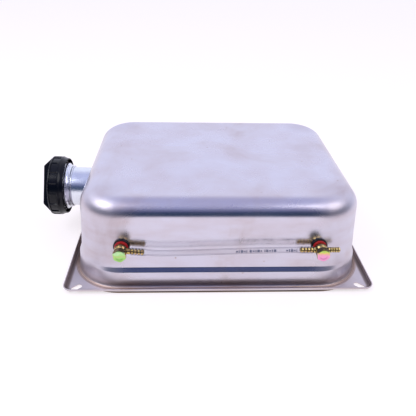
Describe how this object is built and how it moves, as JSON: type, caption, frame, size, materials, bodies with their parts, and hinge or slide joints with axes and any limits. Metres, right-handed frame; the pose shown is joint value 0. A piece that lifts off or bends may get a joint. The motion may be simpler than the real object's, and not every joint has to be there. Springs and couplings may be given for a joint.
{
  "type": "fresh water tank",
  "caption": "Flat stainless tank with a screw filler cap on one end, a flange with slots for hanging, and a clear level tube between two banjo fittings.",
  "frame": {"origin": "centre of the closing sheet's outer face, the face the tank lies on", "axes": "+Z through the tank from the closing sheet to the flat top, +X along its length towards the outlet fitting, the filler cap at -X, the level tube on the -Y wall"},
  "size_m": [0.3685, 0.2705, 0.098],
  "materials": {
    "stainless": "satin drawn sheet",
    "stainless_back": "satin sheet",
    "weld": "weld bead with heat tint",
    "neck_metal": "bright turned",
    "cap_plastic": "moulded",
    "rubber": "smooth rubber",
    "red_fibre": "vulcanised fibre",
    "dark_washer": "bonded seal",
    "yellow_zinc": "yellow zinc plate",
    "yellow_zinc_bolt": "yellow zinc plate with rainbow tint",
    "clear_pvc": "clear flexible tube"
  },
  "bodies": {
    "root": {"tank_shell": "stainless", "closing_sheet": "stainless_back", "seam_weld": "weld", "neck_weld": "weld", "boss_weld_left": "weld", "boss_weld_right": "weld", "filler_neck": "neck_metal", "neck_collar": "neck_metal", "boss_left": "stainless_back", "boss_right": "stainless_back", "rubber_washer_left": "rubber", "fibre_washer_left": "red_fibre", "banjo_left": "yellow_zinc", "outer_washer_left": "dark_washer", "banjo_bolt_left": "yellow_zinc_bolt", "rubber_washer_right": "rubber", "fibre_washer_right": "red_fibre", "banjo_right": "yellow_zinc", "outer_washer_right": "dark_washer", "banjo_bolt_right": "yellow_zinc_bolt", "sight_tube": "clear_pvc"},
    "cap_seal": {"cap_gasket": "rubber"},
    "cap": {"cap_body": "cap_plastic", "cap_vent_valve": "rubber"}
  },
  "joints": [
    {"name": "cap_lift_off", "type": "slide", "parent": "root", "child": "cap_seal", "axis": [-0.999, 0, 0.0436], "range_m": [0, 0.048]},
    {"name": "cap_turn", "type": "hinge", "parent": "cap_seal", "child": "cap", "pos_m": [-0.19216, 0, 0.05556], "axis": [-0.999, 0, 0.0436], "range_deg": [0, 1440]}
  ],
  "couplings": [
    {"joint": "cap_lift_off", "follows": "cap_turn", "m_per_rad": 0.0019098}
  ]
}
